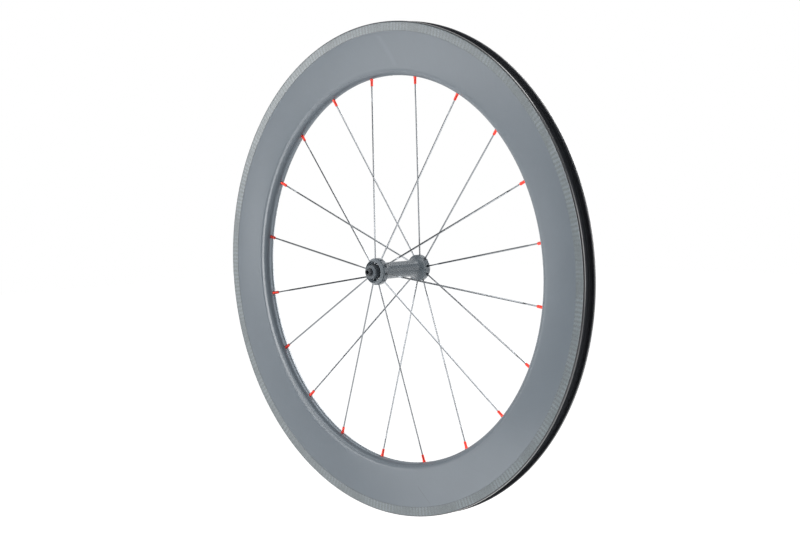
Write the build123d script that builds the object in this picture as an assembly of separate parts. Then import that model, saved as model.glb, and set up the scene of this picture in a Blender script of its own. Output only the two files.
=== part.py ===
from build123d import *
import math
import os

# A front bicycle wheel: a deep hollow rim for a clincher tyre, radial bladed spokes and a straight-pull hub.
# The wheel's centre is the origin, the axle lies along Y, and +Z is up through the valve hole.
# The wheel's right side is at -Y and its left side at +Y. Lengths are in millimetres, angles in degrees.

# Rim
BEAD_SEAT_DIA = 622.0
HOOK_HEIGHT = 5.5
RIM_DEPTH = 68.5
RIM_WIDTH = 23.0
TRACK_HEIGHT = 12.4
TRACK_STEP = 0.25
EDGE_ROUND = 2.0
NOSE_RADIUS = 10.4
SIDE_LEAN = 3.0
LAMINATE = 0.9
TRACK_WALL = 1.8
NOSE_WALL = 2.8
NOSE_FLAT = 8.0
HOOK_WALL = 2.7
HOOK_LIP = 0.9
HOOK_LIP_HEIGHT = 2.4
SHELF_WIDTH = 3.6
WELL_DEPTH = 1.8
WELL_SLOPE = 1.2
BED_WALL = 1.6
VALVE_HOLE_DIA = 6.5

# Spokes and nipples
SPOKES_PER_SIDE = 10
SPOKE_DIA = 2.0
BLADE_WIDTH = 2.3
BLADE_THICKNESS = 0.95
HUB_BUTT = 24.0
RIM_BUTT = 14.0
BLADE_RUN = 7.0
HEAD_DIA = 3.8
HEAD_HEIGHT = 1.6
HEAD_CHAMFER = 0.4
NIPPLE_SHANK = 11.8
NIPPLE_FLAT_LENGTH = 7.0
NIPPLE_FLATS = 3.25
NIPPLE_DIA = 3.95
NIPPLE_HEAD_DIA = 5.8
NIPPLE_HEAD_HEIGHT = 2.2
NIPPLE_CHAMFER = 0.5
NIPPLE_TURN = 45.0
SPOKE_END = 0.8
THREAD_FIT = 0.03
NIPPLE_HOLE_GAP = 0.15
SPOKE_HOLE_GAP = 0.2
SEAT_MARGIN = 0.3
NIPPLE_SEAT_SINK = 0.5

# Hub shell
DROPOUT_SPACING = 100.0
CAP_STANDOUT = 5.0
RECESS_DEPTH = 9.0
RECESS_MOUTH_DEPTH = 2.4
RECESS_MOUTH_STEP = 1.1
FLANGE_WIDTH = 8.0
FLANGE_WALL = 5.6
FLARE_LENGTH = 9.0
FLANGE_EDGE = 0.5
GROOVE_WIDTH = 0.9
GROOVE_DEPTH = 1.3
LIP_STEP = 0.6
LIP_RIM = 0.5
BARREL_WALL = 2.2
BEARING_SHOULDER = 1.2
HEAD_FLOOR_GAP = 0.6
EXIT_CHAMFER = 0.8

# Axle and end caps
AXLE_STANDOUT = 5.0
AXLE_END_DIA = 9.0
AXLE_END_CHAMFER = 0.5
AXLE_UNDERCUT_WIDTH = 0.6
AXLE_UNDERCUT_DEPTH = 0.3
AXLE_SHOULDER = 1.0
SKEWER_BORE_DIA = 5.2
END_CAP_DIA = 18.4
END_CAP_THICKNESS = 10.0
END_CAP_CHAMFER = 0.6
WRENCH_FLATS = 16.6
WRENCH_DEPTH = 4.2
HEAD_CAP_GAP = 0.6

# Bearings
BEARING_BORE = 10.0
BEARING_DIA = 19.0
BEARING_WIDTH = 5.0
BALL_DIA = 2.38
BALL_COUNT = 11
LAND_OFFSET = 0.8
CAGE_THICKNESS = 0.8
CAGE_END_GAP = 0.2
SEAL_THICKNESS = 0.5
SEAL_INSET = 0.15
SEAL_SEAT = 0.25
SEAL_GAP = 0.1
RACE_GAP = 0.05
POCKET_GAP = 0.06
SEAT_FIT = 0.02

# Rim radii and widths, from the tyre's bead seat
bead_r = BEAD_SEAT_DIA / 2
rim_r = bead_r + HOOK_HEIGHT
nose_r = rim_r - RIM_DEPTH
nose_centre_r = nose_r + NOSE_RADIUS
track_in_r = rim_r - TRACK_HEIGHT
well_r = bead_r - WELL_DEPTH
roof_r = well_r - BED_WALL
half_width = RIM_WIDTH / 2
pocket_half = half_width - HOOK_WALL
cavity_nose_r = nose_r + NOSE_WALL

# Hub places along the axle, from the end cap's face inwards, and hub radii, from the end cap outwards
cap_face_y = DROPOUT_SPACING / 2
lip_y = cap_face_y - CAP_STANDOUT
floor_y = lip_y - RECESS_DEPTH
head_y = floor_y + HEAD_FLOOR_GAP + HEAD_DIA / 2
head_seat_r = END_CAP_DIA / 2 + HEAD_CAP_GAP + HEAD_HEIGHT
flange_r = head_seat_r + FLANGE_WALL
bearing_y = floor_y - BEARING_WIDTH / 2
bearing_in_y = floor_y - BEARING_WIDTH
shell_bore_r = BEARING_DIA / 2 - BEARING_SHOULDER
barrel_r = shell_bore_r + BARREL_WALL

# A spoke's straight line, from its head's seat in the flange to its nipple's seat in the rim's nose
nipple_seat_r = cavity_nose_r - NIPPLE_SEAT_SINK
spoke_run = math.hypot(nipple_seat_r - head_seat_r, head_y)
spoke_tilt = math.degrees(math.atan2(head_y, nipple_seat_r - head_seat_r))
spoke_slope = math.tan(math.radians(spoke_tilt))
exit_y = head_y - FLANGE_WALL * spoke_slope
flange_out_y = exit_y + FLANGE_WIDTH / 2
flange_in_y = exit_y - FLANGE_WIDTH / 2
flare_y = flange_in_y - FLARE_LENGTH

# Bearing radii
pitch_r = (BEARING_BORE + BEARING_DIA) / 4
inner_land_r = pitch_r - LAND_OFFSET
outer_land_r = pitch_r + LAND_OFFSET
seal_depth = SEAL_INSET + SEAL_THICKNESS

SIDES = {"left": 1, "right": -1}
SPOKE_STEP = 360.0 / SPOKES_PER_SIDE
# The valve hole lies midway between a right and a left spoke
FIRST_SPOKE = {"left": 90.0 - SPOKE_STEP / 4, "right": 90.0 + SPOKE_STEP / 4}


def turned(*outline):
    """A solid turned about the axle from a closed outline of (radius, place along the axle) points."""
    return revolve(make_face(Polyline(*outline, close=True)), Axis.Y)


def on_side(solid, side):
    """A solid drawn on the left side, at +Y, or its mirror image on the right side."""
    if side == "left":
        return solid
    return mirror(solid, about=Plane.XZ)


def spoke_frame(side, angle, radius, along_y):
    """The plane across a spoke's line at a given point of it, with X along the rim and Z towards the rim."""
    a = math.radians(angle)
    t = math.radians(spoke_tilt)
    sign = SIDES[side]
    outward = Vector(math.cos(a), 0, math.sin(a))
    line = outward * math.cos(t) - Vector(0, sign * math.sin(t), 0)
    centre = outward * radius + Vector(0, sign * along_y, 0)
    return Plane(origin=centre, x_dir=(-math.sin(a), 0, math.cos(a)), z_dir=line)


def head_frame(side, angle):
    return spoke_frame(side, angle, head_seat_r, head_y)


def nipple_frame(side, angle):
    return spoke_frame(side, angle, nipple_seat_r, 0)


def spoke_angles(side):
    return [FIRST_SPOKE[side] + SPOKE_STEP * i for i in range(SPOKES_PER_SIDE)]


def rod(radius, low, high):
    """A round bar along Z between two heights."""
    return Pos(0, 0, low) * Cylinder(radius, high - low, align=(Align.CENTER, Align.CENTER, Align.MIN))


def rim_outer_section():
    """The rim's outer outline: round nose, slightly bowed sidewall, brake track, hook, bead shelf and well."""
    nose = JernArc((nose_r, 0), (0, 1), NOSE_RADIUS, SIDE_LEAN - 90)
    side = TangentArc(nose @ 1, (track_in_r, half_width - TRACK_STEP), tangent=nose % 1)
    track = Polyline(side @ 1, (track_in_r + TRACK_STEP, half_width), (rim_r - EDGE_ROUND, half_width))
    edge = TangentArc(track @ 1, (rim_r, half_width - EDGE_ROUND), tangent=(1, 0))
    channel = Polyline(
        edge @ 1,
        (rim_r, pocket_half - HOOK_LIP),
        (rim_r - HOOK_LIP_HEIGHT, pocket_half - HOOK_LIP),
        (rim_r - HOOK_LIP_HEIGHT - HOOK_LIP, pocket_half),
        (bead_r, pocket_half),
        (bead_r, pocket_half - SHELF_WIDTH),
        (well_r, pocket_half - SHELF_WIDTH - WELL_SLOPE),
        (well_r, 0),
        nose @ 0,
    )
    half = make_face([nose, side, track, edge, channel])
    return half + mirror(half, about=Plane.XZ)


def rim_cavity_section():
    """The hollow inside the rim: thin sidewalls, thicker brake track walls and a thick nose."""
    half = [
        (cavity_nose_r, NOSE_FLAT / 2),
        (nose_centre_r, NOSE_RADIUS - LAMINATE),
        (track_in_r, half_width - TRACK_STEP - LAMINATE),
        (track_in_r + TRACK_WALL, half_width - TRACK_WALL),
        (roof_r, half_width - TRACK_WALL),
    ]
    return make_face(Polyline(*half, *[(r, -y) for r, y in reversed(half)], close=True))


def nipple_hole():
    """The hole through the nose for a nipple's shank, with a flat seat for its head inside the rim."""
    shank = rod(NIPPLE_DIA / 2 + NIPPLE_HOLE_GAP, -2 * NOSE_WALL, 0)
    return shank + rod(NIPPLE_HEAD_DIA / 2 + SEAT_MARGIN, 0, 2 * NIPPLE_HEAD_HEIGHT)


def rim():
    ring = revolve(rim_outer_section() - rim_cavity_section(), Axis.Y)
    hole = nipple_hole()
    holes = [nipple_frame(side, a) * hole for side in SIDES for a in spoke_angles(side)]
    return ring - holes - rod(VALVE_HOLE_DIA / 2, nose_r - NOSE_WALL, rim_r)


def spoke():
    """A straight-pull spoke from its head, below Z = 0, to its threaded end: round, bladed, then round again."""
    blade_low = HUB_BUTT + BLADE_RUN
    blade_high = spoke_run - NIPPLE_SHANK - RIM_BUTT - BLADE_RUN
    butt_high = blade_high + BLADE_RUN
    head = rod(HEAD_DIA / 2, -HEAD_HEIGHT, 0)
    head = chamfer(head.edges().group_by(Axis.Z)[0], HEAD_CHAMFER)
    round_section = Circle(SPOKE_DIA / 2)
    blade_section = SlotOverall(BLADE_WIDTH, BLADE_THICKNESS)
    blade = extrude(Pos(0, 0, blade_low) * blade_section, blade_high - blade_low)
    low_run = loft([Pos(0, 0, HUB_BUTT) * round_section, Pos(0, 0, blade_low) * blade_section])
    high_run = loft([Pos(0, 0, blade_high) * blade_section, Pos(0, 0, butt_high) * round_section])
    hub_butt = rod(SPOKE_DIA / 2, 0, HUB_BUTT)
    rim_butt = rod(SPOKE_DIA / 2, butt_high, spoke_run + SPOKE_END)
    return head + hub_butt + low_run + blade + high_run + rim_butt


def nipple():
    """A nipple with its head's underside at Z = 0: round shank, wrench flats at its hub end, threaded bore."""
    shank = rod(NIPPLE_DIA / 2, -NIPPLE_SHANK, 0)
    shank = chamfer(shank.edges().group_by(Axis.Z)[0], NIPPLE_CHAMFER)
    flats = Box(NIPPLE_FLATS, NIPPLE_FLATS, NIPPLE_FLAT_LENGTH, align=(Align.CENTER, Align.CENTER, Align.MIN))
    round_part = rod(NIPPLE_DIA / 2, NIPPLE_FLAT_LENGTH - NIPPLE_SHANK, 0)
    head = rod(NIPPLE_HEAD_DIA / 2, 0, NIPPLE_HEAD_HEIGHT)
    head = chamfer(head.edges().group_by(Axis.Z)[-1], NIPPLE_CHAMFER)
    body = (shank & Pos(0, 0, -NIPPLE_SHANK) * Rot(0, 0, NIPPLE_TURN) * flats) + round_part + head
    return body - rod(SPOKE_DIA / 2 + THREAD_FIT, -NIPPLE_SHANK, NIPPLE_HEAD_HEIGHT)


def spoke_hole():
    """The hole in a flange for a spoke: a flat seat inside for the head and a countersunk mouth outside."""
    hole_r = SPOKE_DIA / 2 + SPOKE_HOLE_GAP
    mouth_z = FLANGE_WALL / math.cos(math.radians(spoke_tilt))
    mouth = Cone(hole_r, hole_r + 2 * EXIT_CHAMFER, 2 * EXIT_CHAMFER)
    seat = rod(HEAD_DIA / 2 + SEAT_MARGIN, -HEAD_HEIGHT, 0)
    return seat + rod(hole_r, 0, mouth_z) + Pos(0, 0, mouth_z) * mouth


def recess_r(along_y):
    """The recess widens outwards so that its wall lies square to the spokes."""
    return head_seat_r + (along_y - head_y) * spoke_slope


def hub_shell():
    """One turned shell: thin barrel, flared flanges with spoke holes, bearing seats and stepped end recesses."""
    mouth_r = recess_r(lip_y) + RECESS_MOUTH_STEP
    mouth_y = lip_y - RECESS_MOUTH_DEPTH
    barrel = Line((barrel_r, 0), (barrel_r, flare_y))
    flare = TangentArc(barrel @ 1, (flange_r - FLANGE_EDGE, flange_in_y), tangent=barrel % 1)
    outline = Polyline(
        flare @ 1,
        (flange_r, flange_in_y + FLANGE_EDGE),
        (flange_r, flange_out_y - GROOVE_WIDTH),
        (flange_r - GROOVE_DEPTH, flange_out_y - GROOVE_WIDTH),
        (flange_r - GROOVE_DEPTH, flange_out_y),
        (flange_r - LIP_STEP, flange_out_y),
        (mouth_r + LIP_RIM, lip_y),
        (mouth_r, lip_y),
        (mouth_r, mouth_y),
        (recess_r(mouth_y), mouth_y),
        (recess_r(floor_y), floor_y),
        (BEARING_DIA / 2 + SEAT_FIT, floor_y),
        (BEARING_DIA / 2 + SEAT_FIT, bearing_in_y),
        (shell_bore_r, bearing_in_y),
        (shell_bore_r, 0),
        barrel @ 0,
    )
    half = revolve(make_face([barrel, flare, outline]), Axis.Y)
    hole = spoke_hole()
    holes = [head_frame(side, a) * hole for side in SIDES for a in spoke_angles(side)]
    return half + mirror(half, about=Plane.XZ) - holes


def axle():
    """A tube with a step for each bearing, and a thin end past each cap behind an undercut at the cap's face."""
    seat_r = BEARING_BORE / 2 - SEAT_FIT
    end_r = AXLE_END_DIA / 2
    end_y = cap_face_y + AXLE_STANDOUT
    undercut_low_y = cap_face_y - AXLE_UNDERCUT_WIDTH / 2
    undercut_high_y = cap_face_y + AXLE_UNDERCUT_WIDTH / 2
    half = turned(
        (SKEWER_BORE_DIA / 2, 0),
        (BEARING_BORE / 2 + AXLE_SHOULDER, 0),
        (BEARING_BORE / 2 + AXLE_SHOULDER, bearing_in_y),
        (seat_r, bearing_in_y),
        (seat_r, undercut_low_y),
        (end_r - AXLE_UNDERCUT_DEPTH, undercut_low_y),
        (end_r - AXLE_UNDERCUT_DEPTH, undercut_high_y),
        (end_r, undercut_high_y),
        (end_r, end_y - AXLE_END_CHAMFER),
        (end_r - AXLE_END_CHAMFER, end_y),
        (SKEWER_BORE_DIA / 2, end_y),
    )
    return half + mirror(half, about=Plane.XZ)


def end_cap():
    """A left end cap: a spacer against the bearing's inner ring and a wide face for the fork, with two flats."""
    cap_r = END_CAP_DIA / 2
    spacer_r = inner_land_r - SEAL_GAP
    low_y = cap_face_y - END_CAP_THICKNESS
    cap = turned(
        (BEARING_BORE / 2, floor_y),
        (spacer_r, floor_y),
        (spacer_r, low_y),
        (cap_r - END_CAP_CHAMFER, low_y),
        (cap_r, low_y + END_CAP_CHAMFER),
        (cap_r, cap_face_y - END_CAP_CHAMFER),
        (cap_r - END_CAP_CHAMFER, cap_face_y),
        (BEARING_BORE / 2, cap_face_y),
    )
    flat = Box(END_CAP_DIA, WRENCH_DEPTH, END_CAP_DIA, align=(Align.CENTER, Align.MAX, Align.MIN))
    above = Pos(0, cap_face_y, WRENCH_FLATS / 2) * flat
    return cap - above - mirror(above, about=Plane.XY)


def ball_track(gap):
    """The ring that the balls sweep, opened by a gap."""
    ring = Torus(pitch_r, BALL_DIA / 2 + gap)
    return Pos(0, bearing_y, 0) * Rot(90, 0, 0) * ring


def bearing_outer_ring():
    """The outer ring, with a ball groove and a step at each face for a seal."""
    step_r = outer_land_r + SEAL_SEAT
    ring = turned(
        (step_r, bearing_in_y),
        (BEARING_DIA / 2, bearing_in_y),
        (BEARING_DIA / 2, floor_y),
        (step_r, floor_y),
        (step_r, floor_y - seal_depth),
        (outer_land_r, floor_y - seal_depth),
        (outer_land_r, bearing_in_y + seal_depth),
        (step_r, bearing_in_y + seal_depth),
    )
    return ring - ball_track(RACE_GAP)


def bearing_inner_ring():
    ring = turned(
        (BEARING_BORE / 2, bearing_in_y),
        (inner_land_r, bearing_in_y),
        (inner_land_r, floor_y),
        (BEARING_BORE / 2, floor_y),
    )
    return ring - ball_track(RACE_GAP)


def round_the_bearing(solid):
    """Copies of a solid at each ball's place round the bearing."""
    step = 360.0 / BALL_COUNT
    return [Pos(0, bearing_y, 0) * Rot(0, step * i, 0) * Pos(pitch_r, 0, 0) * solid for i in range(BALL_COUNT)]


def bearing_balls():
    return round_the_bearing(Sphere(BALL_DIA / 2))


def bearing_cage():
    """A thin ring between the seals with a round pocket for each ball."""
    low_y = bearing_in_y + seal_depth + CAGE_END_GAP
    high_y = floor_y - seal_depth - CAGE_END_GAP
    in_r = pitch_r - CAGE_THICKNESS / 2
    out_r = pitch_r + CAGE_THICKNESS / 2
    ring = turned((in_r, low_y), (out_r, low_y), (out_r, high_y), (in_r, high_y))
    pocket = Rot(0, 90, 0) * Cylinder(BALL_DIA / 2 + POCKET_GAP, 2 * CAGE_THICKNESS)
    return ring - round_the_bearing(pocket)


def bearing_seals():
    """The two seals of a bearing, held in the outer ring's steps and just clear of the inner ring."""
    in_r = inner_land_r + SEAL_GAP
    out_r = outer_land_r + SEAL_SEAT - SEAT_FIT

    def seal(low_y):
        high_y = low_y + SEAL_THICKNESS
        return turned((in_r, low_y), (out_r, low_y), (out_r, high_y), (in_r, high_y))

    return [seal(bearing_in_y + SEAL_INSET), seal(floor_y - seal_depth)]


def write(node, *solids):
    shape = solids[0] if len(solids) == 1 else Compound(children=list(solids))
    export_step(shape, f"parts/{node}.step")


os.makedirs("parts", exist_ok=True)
write("rim", rim())
write("hub_shell", hub_shell())
write("axle", axle())

one_spoke = spoke()
one_nipple = nipple()
for side in SIDES:
    for number, angle in enumerate(spoke_angles(side), start=1):
        write(f"spoke_{side}_{number:02d}", head_frame(side, angle) * one_spoke)
    write(f"nipples_{side}", *[nipple_frame(side, a) * one_nipple for a in spoke_angles(side)])
    write(f"end_cap_{side}", on_side(end_cap(), side))
    write(f"bearing_outer_ring_{side}", on_side(bearing_outer_ring(), side))
    write(f"bearing_inner_ring_{side}", on_side(bearing_inner_ring(), side))
    write(f"bearing_cage_{side}", on_side(bearing_cage(), side))
    write(f"bearing_balls_{side}", *[on_side(ball, side) for ball in bearing_balls()])
    write(f"bearing_seals_{side}", *[on_side(seal, side) for seal in bearing_seals()])
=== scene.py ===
import math
import bmesh
import bpy
import numpy as np
from mathutils import Matrix, Vector


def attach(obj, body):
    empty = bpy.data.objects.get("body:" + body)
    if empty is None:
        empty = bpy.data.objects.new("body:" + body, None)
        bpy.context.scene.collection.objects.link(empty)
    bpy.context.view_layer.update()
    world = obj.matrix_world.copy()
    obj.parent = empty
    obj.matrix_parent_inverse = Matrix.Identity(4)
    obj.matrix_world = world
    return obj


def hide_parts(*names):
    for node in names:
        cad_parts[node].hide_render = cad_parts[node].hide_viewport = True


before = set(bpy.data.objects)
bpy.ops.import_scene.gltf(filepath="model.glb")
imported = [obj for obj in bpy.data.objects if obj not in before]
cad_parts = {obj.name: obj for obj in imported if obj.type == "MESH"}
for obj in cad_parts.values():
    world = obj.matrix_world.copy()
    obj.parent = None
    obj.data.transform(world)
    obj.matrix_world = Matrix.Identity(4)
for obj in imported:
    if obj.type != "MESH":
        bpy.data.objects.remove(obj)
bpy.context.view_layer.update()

# The axle: a tube of aluminium, turned and anodised dark grey, with a bore right through it.
# Its thin ends stand out of the end caps, each behind an undercut, and drop into the fork's slots.
MM = 0.001
BORE_R = 2.6
AXLE_R = 6.0
BEARING_SEAT_R = 4.98
AXLE_END_R = 4.5
AXLE_END_CHAMFER = 0.5
UNDERCUT_R = 4.2
UNDERCUT_HALF = 0.3
BEARING_INNER_Y = 31.0
CAP_FACE_Y = 50.0
AXLE_END_Y = 55.0
TOOL_NOSE = 0.08
SEAT_BREAK = 0.1
FINE_BREAK = 0.15
EDGE_BREAK = 0.2
BORE_BREAK = 0.3
AXLE_LINES = 96
AXLE_DARK = (0.038, 0.044, 0.050, 1)
AXLE_LIGHT = (0.048, 0.055, 0.062, 1)
AXLE_ROUGHNESS = 0.38
ANODISED_SPECULAR = 0.4
FINE_TURNING = 3000.0
DYE_WAVES = 45.0
RING_SHARE = 0.25
RING_GLOSS = 0.03
RING_BUMP = 0.03
RING_DEPTH = 0.005 * MM
NOISE_CORE = (0.3, 0.7)
NOISE_SPAN = (0.25, 0.75)


def rounded(corners, steps=4, guard=0.2):
    """A chain of straight runs whose inner corners are arcs. A corner is (radius, place along the axle,
    fillet). An arc starts fillet * tan(half the turn) before its corner. Its points are that start turned
    step by step about a centre that lies one fillet to its side. A guard point on the straight run at each
    end of an arc keeps the shading of the run flat. The first and last corners stay as they are."""
    table = np.array(corners, float)
    point = table[:, :2]
    run = np.diff(point, axis=0)
    run /= np.linalg.norm(run, axis=1, keepdims=True)
    into, out = run[:-1], run[1:]
    fillet = table[1:-1, 2:]
    turn = np.arctan2(into[:, 0] * out[:, 1] - into[:, 1] * out[:, 0], (into * out).sum(1))[:, None]
    reach = fillet * np.abs(np.tan(turn / 2))
    start = point[1:-1] - into * reach
    arm = np.stack([into[:, 1], -into[:, 0]], axis=1) * np.sign(turn) * fillet
    swing = turn * np.linspace(0, 1, steps)
    first = (start - arm)[:, :1] + arm[:, :1] * np.cos(swing) - arm[:, 1:] * np.sin(swing)
    second = (start - arm)[:, 1:] + arm[:, :1] * np.sin(swing) + arm[:, 1:] * np.cos(swing)
    before = start - into * fillet * guard
    after = point[1:-1] + out * (reach + fillet * guard)
    arcs = np.concatenate([before[:, None], np.stack([first, second], axis=2), after[:, None]], axis=1)
    return np.concatenate([point[:1], arcs.reshape(-1, 2), point[-1:]])


def both_sides(half):
    """A closed section from its left half, which starts and ends at the wheel's middle plane: the half, then
    its mirror image in reverse order, without the two points that they share."""
    return np.concatenate([half, half[-2:0:-1] * (1, -1)])


def full_turn(lines, start=0.0):
    """Angles of so many lines, evenly spaced once round the axle from a start, in radians."""
    return start + np.linspace(0, 2 * math.pi, lines, endpoint=False)


def turned_points(section, angles):
    """Section point (r, y) at angle a lies at (r cos a, y, r sin a). Rows are angles, columns are section
    points."""
    r, y = section[:, 0], section[:, 1]
    along = np.tile(y, (len(angles), 1))
    return np.stack([np.outer(np.cos(angles), r), along, np.outer(np.sin(angles), r)], axis=2)


def grid_faces(rows, columns, close_rows=True):
    """Quads of a grid of points, numbered row by row. Columns close on themselves, and rows may."""
    i = np.arange(rows if close_rows else rows - 1)[:, None]
    j = np.arange(columns)[None, :]
    near, far = i * columns, (i + 1) % rows * columns
    after = (j + 1) % columns
    return np.stack([near + j, far + j, far + after, near + after], axis=2).reshape(-1, 4)


def make_piece(name, points, faces, body, node, finishes, finish_of_face=None, crease=35.0):
    """A mesh object in the wheel's own place, for one node of the model. Points that no face uses are
    dropped, faces are turned outwards, and edges that turn by more than the crease angle, in degrees, stay
    sharp."""
    lists = [f.reshape(-1, f.shape[-1]) for f in faces]
    used, number = np.unique(np.concatenate([f.ravel() for f in lists]), return_inverse=True)
    ends = np.cumsum([f.size for f in lists])[:-1]
    lists = [n.reshape(f.shape).tolist() for n, f in zip(np.split(number, ends), lists)]
    mesh = bpy.data.meshes.new(name)
    places = (points.reshape(-1, 3)[used] * MM).tolist()
    mesh.from_pydata(places, [], [face for part in lists for face in part])
    for finish in finishes:
        mesh.materials.append(finish)
    if finish_of_face is not None:
        mesh.polygons.foreach_set("material_index", finish_of_face)
    work = bmesh.new()
    work.from_mesh(mesh)
    bmesh.ops.recalc_face_normals(work, faces=work.faces)
    work.to_mesh(mesh)
    work.free()
    mesh.shade_smooth()
    mesh.set_sharp_from_angle(angle=math.radians(crease))
    piece = bpy.data.objects.new(name, mesh)
    bpy.context.scene.collection.objects.link(piece)
    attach(piece, body)
    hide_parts(node)


def new_finish(name, roughness, metallic=0.0, specular=0.5):
    """A material with one Principled shader, its even values set on the shader's own sockets."""
    material = bpy.data.materials.new(name)
    material.use_nodes = True
    shader = material.node_tree.nodes["Principled BSDF"]
    shader.inputs["Roughness"].default_value = roughness
    shader.inputs["Metallic"].default_value = metallic
    shader.inputs["Specular IOR Level"].default_value = specular
    return material, material.node_tree, shader


def fill(tree, socket, source):
    """A socket takes a link from another socket, or else a value of its own."""
    if isinstance(source, bpy.types.NodeSocket):
        tree.links.new(source, socket)
    else:
        socket.default_value = source


def add(tree, kind, *sources, out=0, **settings):
    """One node, its inputs filled in order. None leaves an input alone."""
    node = tree.nodes.new("ShaderNode" + kind)
    for key, value in settings.items():
        setattr(node, key, value)
    for socket, source in zip(node.inputs, sources):
        if source is not None:
            fill(tree, socket, source)
    return node.outputs[out]


def sums(tree, operation, *terms):
    """One step of arithmetic on its terms."""
    return add(tree, "Math", *terms, operation=operation)


def times(tree, first, second):
    """The product of two terms."""
    return sums(tree, "MULTIPLY", first, second)


def plus(tree, first, second):
    """The sum of two terms."""
    return sums(tree, "ADD", first, second)


def less(tree, first, second):
    """The first term less the second."""
    return sums(tree, "SUBTRACT", first, second)


def scaled(tree, value, low, high, new_low, new_high):
    """A value carried evenly from low..high to new_low..new_high, and held at the ends."""
    return add(tree, "MapRange", value, low, high, new_low, new_high)


def noise(tree, place, waves, octaves=2.0, falloff=0.5):
    """Soft noise from 0 to 1 with so many waves to a unit of place. Each octave halves the wave and has a
    share of the height of the last, its falloff."""
    return add(tree, "TexNoise", place, None, waves, octaves, falloff)


def blend_colours(tree, share, first, second):
    """The first colour, with a share of it replaced by the second."""
    node = tree.nodes.new("ShaderNodeMix")
    node.data_type = "RGBA"
    share_in, first_in, second_in = node.inputs[0], node.inputs[6], node.inputs[7]
    fill(tree, share_in, share)
    fill(tree, first_in, first)
    fill(tree, second_in, second)
    return node.outputs[2]


def wheel_coordinates(tree):
    """The place in Object coordinates, the radius from the axle, which is the root of x squared and z
    squared, the place along the axle, y, and the angle round it, of z over x. Metres and radians."""
    place = add(tree, "TexCoord", out="Object")
    split = tree.nodes.new("ShaderNodeSeparateXYZ")
    tree.links.new(place, split.inputs[0])
    x, y, z = split.outputs
    radius = sums(tree, "SQRT", plus(tree, times(tree, x, x), times(tree, z, z)))
    return place, radius, y, sums(tree, "ARCTAN2", z, x)


def raise_surface(tree, shader, height, strength, distance):
    """A bump from a height, for marks too fine for the mesh."""
    node = tree.nodes.new("ShaderNodeBump")
    node.inputs["Strength"].default_value = strength
    node.inputs["Distance"].default_value = distance
    tree.links.new(height, node.inputs["Height"])
    tree.links.new(node.outputs[0], shader.inputs["Normal"])


def turned_finish(name, dark, light, roughness, turning, metallic=0.0, specular=ANODISED_SPECULAR):
    """Turned and dyed metal: fine rings round the axle from noise over radius and place along the axle, with
    so many turning marks to a metre, and a soft cloud in the colour where the dye took unevenly."""
    material, tree, shader = new_finish(name, roughness, metallic, specular)
    place, radius, y, _ = wheel_coordinates(tree)
    rings = noise(tree, add(tree, "CombineXYZ", radius, y, 0.0), turning)
    cloud = noise(tree, place, DYE_WAVES)
    share = plus(tree, times(tree, rings, RING_SHARE), times(tree, cloud, 1 - RING_SHARE))
    colour = blend_colours(tree, scaled(tree, share, *NOISE_CORE, 0.0, 1.0), dark, light)
    gloss = scaled(tree, rings, *NOISE_SPAN, roughness - RING_GLOSS, roughness + RING_GLOSS)
    tree.links.new(colour, shader.inputs["Base Color"])
    tree.links.new(gloss, shader.inputs["Roughness"])
    raise_surface(tree, shader, rings, RING_BUMP, RING_DEPTH)
    return material


axle_section = both_sides(rounded([
    (BORE_R, 0, 0),
    (BORE_R, AXLE_END_Y, BORE_BREAK),
    (AXLE_END_R - AXLE_END_CHAMFER, AXLE_END_Y, FINE_BREAK),
    (AXLE_END_R, AXLE_END_Y - AXLE_END_CHAMFER, EDGE_BREAK),
    (AXLE_END_R, CAP_FACE_Y + UNDERCUT_HALF, TOOL_NOSE),
    (UNDERCUT_R, CAP_FACE_Y + UNDERCUT_HALF, TOOL_NOSE),
    (UNDERCUT_R, CAP_FACE_Y - UNDERCUT_HALF, TOOL_NOSE),
    (BEARING_SEAT_R, CAP_FACE_Y - UNDERCUT_HALF, TOOL_NOSE),
    (BEARING_SEAT_R, BEARING_INNER_Y, SEAT_BREAK),
    (AXLE_R, BEARING_INNER_Y, EDGE_BREAK),
    (AXLE_R, 0, 0),
]))
axle_points = turned_points(axle_section, full_turn(AXLE_LINES))
axle_grey = turned_finish("axle_dark_anodised", AXLE_DARK, AXLE_LIGHT, AXLE_ROUGHNESS, FINE_TURNING)
make_piece("axle_tube", axle_points, [grid_faces(AXLE_LINES, len(axle_section))], "axle", "axle",
           [axle_grey])

# The bearings: two sealed cartridges pressed between the axle and the hub shell. Rings and balls are ground
# steel, the cage is moulded nylon and the seals are rubber on a steel disc. The caps hide almost all of them.
SIDES = {"left": 1, "right": -1}
BEARING_TURNING = 1500.0
BEARING_SPECULAR = 0.5
STEEL_DARK, STEEL_LIGHT, STEEL_ROUGHNESS = (0.46, 0.47, 0.48, 1), (0.60, 0.61, 0.62, 1), 0.22
NYLON_DARK, NYLON_LIGHT, NYLON_ROUGHNESS = (0.035, 0.035, 0.037, 1), (0.055, 0.055, 0.058, 1), 0.55
RUBBER_DARK, RUBBER_LIGHT, RUBBER_ROUGHNESS = (0.012, 0.012, 0.013, 1), (0.022, 0.022, 0.024, 1), 0.60
BEARING_FINISHES = (
    ("bearing_steel", ("outer_ring", "inner_ring", "balls"), STEEL_DARK, STEEL_LIGHT, STEEL_ROUGHNESS, 1.0),
    ("bearing_nylon", ("cage",), NYLON_DARK, NYLON_LIGHT, NYLON_ROUGHNESS, 0.0),
    ("bearing_rubber", ("seals",), RUBBER_DARK, RUBBER_LIGHT, RUBBER_ROUGHNESS, 0.0),
)
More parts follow.
